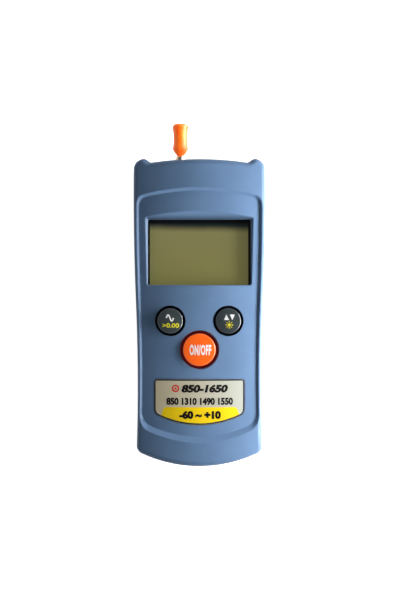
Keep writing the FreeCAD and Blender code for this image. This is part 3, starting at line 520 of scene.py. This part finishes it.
def labelFinish():
    # satin metallised film with a printed yellow band along its lower edge
    look = labelLook
    f = Finish("labelFoil", Coat_Weight=look["coat"], Coat_Roughness=look["coatRough"],
               Specular_IOR_Level=look["gloss"])
    x, y, _ = f.xyz()
    down = look["bandTop"] * mm - y
    centre = (look["bandLeft"] + look["bandRight"]) / 2 * mm
    half = (look["bandRight"] - look["bandLeft"]) / 2 * mm
    inEnd = down * look["bandSlant"] + half - abs(x - centre)
    corner = look["bandRound"] * mm
    dx = (corner - inEnd).atLeast(0.0)
    dy = (corner - down).atLeast(0.0)
    softArea = 0.08 * mm * mm
    band = (corner * corner - dx * dx - dy * dy).over(0, softArea)
    stretched = f.add("ShaderNodeMapping", {"vector_type": "POINT"},
                      {"Vector": f.where, "Scale": look["streaks"]})
    brush = f.add("ShaderNodeTexNoise", inputs={"Vector": stretched, "Scale": 1.0, "Detail": 3.0})
    cloud = f.noise(look["cloudSize"])
    film = f.mix(x.over(0, look["fieldSoft"] * mm), look["field"], look["fieldRight"])
    film = f.mix((brush * 0.7 + cloud * 0.3) * look["streakShow"], film, look["fieldDark"])
    yellow = f.mix(cloud, look["band"], look["bandLight"])
    f.put(Base_Color=f.mix(band, film, yellow), Metallic=(1 - band) * look["foil"],
          Roughness=band * 0.1 + brush * 0.12 + look["rough"],
          Normal=f.bump(brush, look["streakBump"], look["streakDent"]))
    return f.material


inkLook = {                    # colour, roughness and gloss of each ink
    "inkWhite": (srgb(246, 246, 244), 0.45, 0.5),
    "inkYellow": (srgb(226, 214, 30), 0.45, 0.5),
    "inkBlack": (srgb(10, 8, 9), 0.5, 0.2),
    "inkRed": (srgb(222, 52, 40), 0.45, 0.5),
    # painted shade of the gap round the label plate
    "inkEdgeShade": (srgb(34, 44, 60), 0.45, 0.5),
    "maskBlack": (srgb(4, 6, 14), 0.6, 0.1),   # the border behind the window
}


def inkFinish(name):
    colour, rough, gloss = inkLook[name]
    f = Finish(name, Specular_IOR_Level=gloss)
    fine = f.noise(0.15)
    f.put(Base_Color=f.mix(fine.over(0.6, 0.2) * 0.3, colour, toned(colour, 0.8)),
          Roughness=fine * 0.1 + rough)
    return f.material


def setFinishes():
    caseBlue = mouldedPlastic("caseBlueGrey", caseLook["front"], caseLook["frontRough"], "display_lens")
    rearBlue = mouldedPlastic("rearBlueGrey", caseLook["rear"], caseLook["rearRough"])
    dark = (keyLook["dark"], keyLook["darkRough"])
    darkLeft = keyPlastic("keyCharcoalLeft", *dark, "key_left", keyLook["darkSlotShade"])
    darkRight = keyPlastic("keyCharcoalRight", *dark, "key_right", keyLook["darkSlotShade"])
    orange = keyPlastic("keyOrange", keyLook["orange"], keyLook["orangeRough"], "key_power",
                        keyLook["orangeSlotShade"], keyLook["orangePaintedGlow"])
    ceramic = keyPlastic("zirconia", keyLook["ceramic"], keyLook["ceramicRough"])
    nickel = platedMetal("nickelPlate", metalLook["nickel"], metalLook["nickelRough"])
    steel = platedMetal("brightSteel", metalLook["steel"], metalLook["steelRough"])
    black, rubber, milky, chip = [mattePlastic(name) for name in matteLook]
    finishOf = {
        "front_case": caseBlue, "rear_case": rearBlue, "battery_door": rearBlue,
        "key_left": darkLeft, "key_right": darkRight, "key_power": orange,
        "dust_cap": plugPlastic(), "ferrule_sleeve": ceramic,
        "port_body": nickel, "port_nut": nickel, "photodiode": nickel,
        "label_plate": labelFinish(), "display_lens": clearAcrylic(), "lcd_glass": lcdFinish(),
        "lcd_frame": black, "backlight_panel": milky, "lens_gasket": rubber, "zebra_strip": rubber,
        "main_board": boardFinish(), "microcontroller": chip, "amplifier_chips": chip, "buzzer": chip,
        "switch_bases": chip, "plunger_left": chip, "plunger_right": chip, "plunger_power": chip,
    }
    for cell, plusUp in cellLook["plusUp"].items():
        finishOf[cell] = cellFinish(cell, plusUp)
    for name, node in nodes.items():
        node.data.materials.clear()
        node.data.materials.append(finishOf.get(name, steel))


setFinishes()
inks = {name: inkFinish(name) for name in inkLook}
print("finishes set")


# Geometry Nodes kit: a tree for what repeats or follows a path

class Growth:
    # a Geometry Nodes tree with named sizes, whose result becomes a plain mesh
    def __init__(self, name, sizes):
        self.name = name
        self.sizes = sizes
        self.tree = bpy.data.node_groups.new(name, "GeometryNodeTree")
        sockets = self.tree.interface
        sockets.new_socket("Geometry", in_out="INPUT", socket_type="NodeSocketGeometry")
        for key, value in sizes.items():
            kind = "NodeSocketInt" if isinstance(value, int) else "NodeSocketFloat"
            sockets.new_socket(key, in_out="INPUT", socket_type=kind)
        sockets.new_socket("finish", in_out="INPUT", socket_type="NodeSocketMaterial")
        sockets.new_socket("Geometry", in_out="OUTPUT", socket_type="NodeSocketGeometry")
        self.given = self.tree.nodes.new("NodeGroupInput").outputs

    def add(self, kind, inputs, output=0, **settings):
        node = self.tree.nodes.new(kind)
        for key, value in settings.items():
            setattr(node, key, value)
        for key, value in inputs.items():
            if isinstance(value, bpy.types.NodeSocket):
                self.tree.links.new(value, node.inputs[key])
            else:
                node.inputs[key].default_value = value
        return node.outputs[output]

    def grow(self, grown, finish, start=None):
        # ends the tree, runs it on the start mesh and gives the plain result
        real = self.add("GeometryNodeRealizeInstances", {0: grown})
        done = self.add("GeometryNodeSetMaterial", {"Geometry": real, "Material": self.given["finish"]})
        self.tree.links.new(done, self.tree.nodes.new("NodeGroupOutput").inputs[0])
        holder = newObject(self.name, start or bpy.data.meshes.new(self.name))
        modifier = holder.modifiers.new(self.name, "NODES")
        modifier.node_group = self.tree
        values = dict(self.sizes, finish=finish)
        for item in self.tree.interface.items_tree:
            if item.in_out == "INPUT" and item.name in values:
                modifier[item.identifier] = values[item.name]
        return plainMesh(holder)


def plainMesh(holder):
    # the mesh that an object ends as; the object itself goes
    graph = bpy.context.evaluated_depsgraph_get()
    mesh = bpy.data.meshes.new_from_object(holder.evaluated_get(graph))
    bpy.data.objects.remove(holder)
    return mesh


# flat shapes in mm: a list of points and a list of faces

def flatShape(mesh, unit=mm):
    points = [(v.co.x / unit, v.co.y / unit) for v in mesh.vertices]
    return points, [tuple(p.vertices) for p in mesh.polygons]


def textShape(words, width, height, lean=0.0, bold=0.0, space=1.0):
    # letters scaled to fill width by height, centred on the origin
    curve = bpy.data.curves.new("words", "FONT")
    curve.body = words
    curve.size = 1.0
    curve.offset = bold
    curve.space_character = space
    curve.resolution_u = 4
    holder = newObject("words", curve)
    bpy.context.view_layer.update()
    points, faces = flatShape(plainMesh(holder), unit=1)
    x0, x1 = min(p[0] for p in points), max(p[0] for p in points)
    y0, y1 = min(p[1] for p in points), max(p[1] for p in points)
    sx, sy = width / (x1 - x0), height / (y1 - y0)
    moved = [((px - (x0 + x1) / 2) * sx, (py - (y0 + y1) / 2) * sy) for px, py in points]
    return [(px + lean * py, py) for px, py in moved], faces


def polygonShape(points):
    return list(points), [tuple(range(len(points)))]


def strokeShape(path, width):
    # a ribbon of the given width along a path of points
    left, right = [], []
    for i, (px, py) in enumerate(path):
        ax, ay = path[max(i - 1, 0)]
        bx, by = path[min(i + 1, len(path) - 1)]
        long = math.hypot(bx - ax, by - ay)
        nx, ny = -(by - ay) / long * width / 2, (bx - ax) / long * width / 2
        left.append((px + nx, py + ny))
        right.append((px - nx, py - ny))
    n = len(path)
    return left + right, [(i, n + i, n + i + 1, i + 1) for i in range(n - 1)]


def circlePath(radius, steps):
    turns = [2 * math.pi * i / steps for i in range(steps + 1)]
    return [(radius * math.cos(turn), radius * math.sin(turn)) for turn in turns]


def ringShape(radius, width, steps=28):
    return strokeShape(circlePath(radius, steps), width)


def discShape(radius, steps=20):
    return polygonShape(circlePath(radius, steps)[:-1])


def waveShape(width, height, thick, steps=24):
    path = [((t / steps - 0.5) * width, math.sin(2 * math.pi * t / steps) * height / 2)
            for t in range(steps + 1)]
    return strokeShape(path, thick)


def shifted(shape, dx, dy):
    return [(px + dx, py + dy) for px, py in shape[0]], shape[1]


def middle(node):
    low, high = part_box(node)
    return [(a + b) / 2 / mm for a, b in zip(low, high)]


def rayRing(count, inner, long, wide, ink):
    # flat rays set round a circle
    rays = Growth("rayRing", {"Count": count, "Inner": inner * mm, "Long": long * mm, "Wide": wide * mm})
    given = rays.given
    reach = rays.add("ShaderNodeMath", {0: given["Long"], 1: 2.0}, operation="DIVIDE")
    radius = rays.add("ShaderNodeMath", {0: given["Inner"], 1: reach}, operation="ADD")
    circle = rays.add("GeometryNodeMeshCircle", {"Vertices": given["Count"], "Radius": radius})
    ray = rays.add("GeometryNodeMeshGrid", {"Size X": given["Long"], "Size Y": given["Wide"],
                                            "Vertices X": 2, "Vertices Y": 2})
    place = rays.add("GeometryNodeInputPosition", {})
    turned = rays.add("FunctionNodeAlignRotationToVector", {"Vector": place}, axis="X")
    grown = rays.add("GeometryNodeInstanceOnPoints", {"Points": circle, "Instance": ray, "Rotation": turned})
    return flatShape(rays.grow(grown, ink))


def plateEdge(node):
    # only the upper face stays and then only its rim, flat and centred on the origin
    bm = bmesh.new()
    bm.from_mesh(nodes[node].data)
    bmesh.ops.remove_doubles(bm, verts=bm.verts[:], dist=tiny)
    bmesh.ops.delete(bm, geom=[f for f in bm.faces if f.normal.z < 0.7], context="FACES")
    bmesh.ops.delete(bm, geom=[e for e in bm.edges if len(e.link_faces) > 1], context="EDGES_FACES")
    bmesh.ops.delete(bm, geom=[v for v in bm.verts if not v.link_edges], context="VERTS")
    midX, midY, _ = middle(node)
    for v in bm.verts:
        v.co = (v.co.x - midX * mm, v.co.y - midY * mm, 0)
    edge = bpy.data.meshes.new("plateEdge")
    bm.to_mesh(edge)
    bm.free()
    return edge


def ribbonRound(node, inset, wide, step, ink):
    # a flat ribbon that follows the edge of a plate's upper face, inset from it
    ribbon = Growth("ribbonRound", {"Inset": inset * mm, "Wide": wide * mm, "Step": step * mm})
    given = ribbon.given
    path = ribbon.add("GeometryNodeMeshToCurve", {0: given["Geometry"]})
    even = ribbon.add("GeometryNodeResampleCurve", {"Curve": path, "Length": given["Step"]}, mode="LENGTH")
    along = ribbon.add("GeometryNodeInputTangent", {})
    side = ribbon.add("ShaderNodeVectorMath", {0: along, 1: (0.0, 0.0, 1.0)}, operation="CROSS_PRODUCT")
    place = ribbon.add("GeometryNodeInputPosition", {})
    facing = ribbon.add("ShaderNodeVectorMath", {0: side, 1: place}, output=1, operation="DOT_PRODUCT")
    inward = ribbon.add("ShaderNodeMath", {0: facing}, operation="SIGN")
    push = ribbon.add("ShaderNodeMath", {0: inward, 1: given["Inset"]}, operation="MULTIPLY")
    offset = ribbon.add("ShaderNodeVectorMath", {0: side, "Scale": push}, operation="SCALE")
    back = ribbon.add("ShaderNodeVectorMath", {0: offset, 1: (-1.0, -1.0, 0.0)}, operation="MULTIPLY")
    moved = ribbon.add("GeometryNodeSetPosition", {"Geometry": even, "Offset": back})
    half = ribbon.add("ShaderNodeMath", {0: given["Wide"], 1: 2.0}, operation="DIVIDE")
    low = ribbon.add("ShaderNodeMath", {0: half, 1: -1.0}, operation="MULTIPLY")
    start = ribbon.add("ShaderNodeCombineXYZ", {"X": low})
    end = ribbon.add("ShaderNodeCombineXYZ", {"X": half})
    profile = ribbon.add("GeometryNodeCurvePrimitiveLine", {"Start": start, "End": end})
    level = ribbon.add("GeometryNodeSetCurveNormal", {"Curve": moved}, mode="Z_UP")
    grown = ribbon.add("GeometryNodeCurveToMesh", {"Curve": level, "Profile Curve": profile})
    midX, midY, _ = middle(node)
    return shifted(flatShape(ribbon.grow(grown, ink, plateEdge(node))), midX, midY)


# flat print, laid on the surface under it; lengths in mm

layingPrint = {
    "cell": 0.5,               # size of the cells that follow the surface
    "lift": 0.02,              # over the surface
    "dropFrom": 100,           # above all of the meter
}


def printOn(name, shapes, target, body, ink):
    # cuts the flat shapes into small cells and drops them on the target's surface
    look = layingPrint
    cell = look["cell"] * mm
    bm = bmesh.new()
    for points, faces in shapes:
        made = [bm.verts.new((px * mm, py * mm, 0)) for px, py in points]
        for face in faces:
            if len(set(face)) > 2:
                bm.faces.new([made[i] for i in face])
    for axis, normal in enumerate((Vector((1, 0, 0)), Vector((0, 1, 0)))):
        low = min(v.co[axis] for v in bm.verts)
        high = max(v.co[axis] for v in bm.verts)
        for i in range(1, int((high - low) / cell) + 1):
            bmesh.ops.bisect_plane(bm, geom=bm.verts[:] + bm.edges[:] + bm.faces[:], dist=tiny,
                                   plane_co=normal * (low + i * cell), plane_no=normal)
    source = nodes[target].data
    faces = [tuple(p.vertices) for p in source.polygons]
    tree = BVHTree.FromPolygons([v.co for v in source.vertices], faces)
    for v in bm.verts:
        above = Vector((v.co.x, v.co.y, look["dropFrom"] * mm))
        v.co.z = tree.ray_cast(above, Vector((0, 0, -1)))[0].z + look["lift"] * mm
    bmesh.ops.recalc_face_normals(bm, faces=bm.faces[:])
    if sum(f.normal.z * f.calc_area() for f in bm.faces) < 0:
        bmesh.ops.reverse_faces(bm, faces=bm.faces[:])
    mesh = bpy.data.meshes.new(name)
    bm.to_mesh(mesh)
    bm.free()
    mesh.materials.append(ink)
    piece = newObject(name, mesh)
    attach(piece, body)


keyLegends = {                 # places are from the middle of each cap
    "wave": (3.0, 2.6, 0.55),  # width, height and thickness of the wave sign
    "waveAt": (-0.1, 1.25),
    "zeroSize": (7.0, 1.95),
    "zeroBold": 0.03,
    "zeroAt": (0.2, -1.85),
    "arrow": (2.1, 2.3),
    "arrowApart": 0.58,        # each from the middle, in widths
    "arrowsAt": (0.4, 1.55),
    "sunRadius": 1.6,
    "sunDisc": 0.42,           # in radii, as are the next three
    "rayFrom": 0.6, "rayLong": 0.4, "rayWide": 0.2,
    "rays": 8,
    "sunAt": (0.35, -1.65),
    "switchSize": (9.0, 4.4),
    "switchBold": 0.045,
    "switchSpace": 1.14,
    "switchAt": (0.45, -0.05),
}


def printKey(name, key, shapes, at, ink):
    midX, midY, _ = middle(key)
    printOn(name, [shifted(shape, midX + at[0], midY + at[1]) for shape in shapes], key, key, inks[ink])


def printKeys():
    look = keyLegends
    printKey("leftKeyWhite", "key_left", [waveShape(*look["wave"])], look["waveAt"], "inkWhite")
    zero = textShape(">0.00", *look["zeroSize"], bold=look["zeroBold"])
    printKey("leftKeyYellow", "key_left", [zero], look["zeroAt"], "inkYellow")
    aw, ah = look["arrow"]
    up = polygonShape([(-aw / 2, -ah / 2), (aw / 2, -ah / 2), (0, ah / 2)])
    down = polygonShape([(-aw / 2, ah / 2), (0, -ah / 2), (aw / 2, ah / 2)])
    apart = aw * look["arrowApart"]
    printKey("rightKeyWhite", "key_right", [shifted(up, -apart, 0), shifted(down, apart, 0)],
             look["arrowsAt"], "inkWhite")
    radius = look["sunRadius"]
    rays = rayRing(look["rays"], radius * look["rayFrom"], radius * look["rayLong"],
                   radius * look["rayWide"], inks["inkYellow"])
    printKey("rightKeyYellow", "key_right", [discShape(radius * look["sunDisc"]), rays], look["sunAt"],
             "inkYellow")
    words = textShape("ON/OFF", *look["switchSize"], bold=look["switchBold"], space=look["switchSpace"])
    printKey("powerKeyWhite", "key_power", [words], look["switchAt"], "inkWhite")


labelPrint = {
    "rows": (                  # words, width, height, centre, lean and weight
        ("850-1650", 19.2, 3.4, (2.3, -31.8), 0.22, 0.062),
        ("850 1310 1490 1550", 27.8, 3.1, (0.15, -37.2), 0.0, 0.052),
        ("-60 ~ +10", 17.4, 3.5, (0.3, -42.8), 0.0, 0.07),
    ),
    "spotAt": (-9.9, -31.8),   # a ring round a dot
    "spotRadius": 1.55,
    "ringAt": 0.8, "ringWide": 0.4, "dot": 0.3,                # in radii
    "line": (0.36, 0.62, 0.4),                 # painted shade round the plate's edge: its inset, width and step
}


def printLabel():
    look = labelPrint
    rows = [shifted(textShape(words, width, height, lean, bold), *at)
            for words, width, height, at, lean, bold in look["rows"]]
    # a slate line round the plate, painted shade of the gap at its edge
    line = ribbonRound("label_plate", *look["line"], inks["inkEdgeShade"])
    radius = look["spotRadius"]
    spot = [ringShape(radius * look["ringAt"], radius * look["ringWide"]), discShape(radius * look["dot"])]
    spot = [shifted(shape, *look["spotAt"]) for shape in spot]
    printOn("labelBlack", rows, "label_plate", "case", inks["inkBlack"])
    printOn("labelEdgeShade", [line], "label_plate", "case", inks["inkEdgeShade"])
    printOn("labelRed", spot, "label_plate", "case", inks["inkRed"])


printKeys()
printLabel()
print("print laid on")


displayMask = {                # the dark border behind the window, in mm
    "left": -20.8, "right": 20.6, "low": 11.3, "high": 37.3,   # its opening
    "lift": 0.06,              # over the liquid-crystal glass
}


def corners(left, low, right, high):
    return [(left, low), (right, low), (right, high), (left, high)]


def makeMask():
    look = displayMask
    low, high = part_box("lcd_glass")
    inner = corners(look["left"] * mm, look["low"] * mm, look["right"] * mm, look["high"] * mm)
    rim = corners(low[0], low[1], high[0], high[1]) + inner
    z = high[2] + look["lift"] * mm
    faces = [(i, (i + 1) % 4, 4 + (i + 1) % 4, 4 + i) for i in range(4)]
    mesh = bpy.data.meshes.new("displayBorder")
    mesh.from_pydata([(px, py, z) for px, py in rim], [], faces)
    mesh.materials.append(inks["maskBlack"])
    piece = newObject("displayBorder", mesh)
    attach(piece, "case")


makeMask()
print("display border made")


studio = {                     # in metres
    "floorFlat": 1.1,          # radius of the flat floor, then it sweeps up
    "floorRise": 0.9,
    "floorWhite": 0.8,
    "floorGlow": 0.92,         # light of its own, seen only by the camera, gloss and glass
    "airLow": 0.6,             # air light near the horizon
    "airHigh": 0.095,          # and from airTop upwards, where 1 is straight overhead
    "airTop": 0.7,
    "cameraAt": (0.0005, 0.0049, 0.446),
    "lens": 60.7, "sensor": 36,                # in mm
}


def makeFloor():
    # a round floor that sweeps up into a backdrop all round
    look = studio
    flat, rise = look["floorFlat"], look["floorRise"]
    flatRings, sweepRings, around = 4, 12, 64
    profile = [(flat * i / flatRings, 0) for i in range(1, flatRings + 1)]
    for i in range(1, sweepRings + 1):
        turn = math.pi / 2 * i / sweepRings
        profile.append((flat + rise * math.sin(turn), rise * (1 - math.cos(turn))))
    points = [(0, 0, 0)]
    for radius, z in profile:
        points += [(px, py, z) for px, py in circlePath(radius, around)[:-1]]
    faces = [(0, 1 + k, 1 + (k + 1) % around) for k in range(around)]
    for ring in range(len(profile) - 1):
        a, b = 1 + ring * around, 1 + (ring + 1) * around
        faces += [(a + k, b + k, b + (k + 1) % around, a + (k + 1) % around) for k in range(around)]
    mesh = bpy.data.meshes.new("floor")
    mesh.from_pydata(points, [], faces)
    mesh.shade_smooth()
    mesh.materials.append(floorFinish())
    floor = newObject("floor", mesh)


def floorFinish():
    white = studio["floorWhite"]
    f = Finish("paleFloor", Roughness=0.9, Specular_IOR_Level=0.1, Base_Color=(white, white, white),
               Emission_Strength=1.0)
    rays = f.add("ShaderNodeLightPath").socket.node.outputs
    seen = Value(f, rays["Is Camera Ray"]) + Value(f, rays["Is Glossy Ray"])
    seen = seen + Value(f, rays["Is Transmission Ray"])
    f.put(Emission_Color=f.mix(seen * studio["floorGlow"], (0.0, 0.0, 0.0), (1.0, 1.0, 1.0)))
    return f.material


def makeWorld():
    # pale air, dimmer overhead, so that a flat front keeps its modelling
    world = bpy.data.worlds.new("studioAir")
    world.use_nodes = True
    bpy.context.scene.world = world
    air = Shading(world.node_tree)
    height = air.split(air.add("ShaderNodeTexCoord", output="Generated"))[2]
    level = air.add("ShaderNodeMapRange", inputs={"Value": height, "From Max": studio["airTop"],
                                                  "To Min": studio["airLow"], "To Max": studio["airHigh"]})
    sky = world.node_tree.nodes["Background"].inputs
    air.feed(sky["Strength"], level)
    air.feed(sky["Color"], (1, 1, 1))


lamps = {                      # place, aim, size, power and spread of the beam
    "keyLamp": ((0.2, -0.015, 0.082), (0, -0.01, 0.02), (0.22, 0.08), 1.3, 180),
    "softLamp": ((0.5, -0.3, 0.6), (0, 0, 0.02), (0.5, 0.5), 0.5, 180),
    "headLamp": ((0.05, 0.7, 0.25), (0, 0.05, 0.02), (0.5, 0.3), 0.45, 180),
    "plugLamp": ((0.12, 0.13, 0.06), (-0.008, 0.081, 0.013), (0.02, 0.02), 0.0045, 16),
}


def makeLamp(name, at, aim, size, power, spread):
    lamp = bpy.data.lights.new(name, "AREA")
    lamp.shape = "RECTANGLE"
    lamp.size, lamp.size_y = size
    lamp.energy = power
    lamp.spread = math.radians(spread)
    holder = newObject(name, lamp)
    holder.location = Vector(at)
    holder.rotation_euler = (Vector(aim) - Vector(at)).to_track_quat("-Z", "Y").to_euler()


def makeCamera():
    camera = bpy.data.cameras.new("camera")
    camera.sensor_width = studio["sensor"]
    camera.lens = studio["lens"]
    holder = newObject("camera", camera)
    holder.location = Vector(studio["cameraAt"])
    bpy.context.scene.camera = holder


makeFloor()
makeWorld()
for name, values in lamps.items():
    makeLamp(name, *values)
makeCamera()
bpy.context.scene.view_settings.view_transform = "Standard"
print("studio ready")
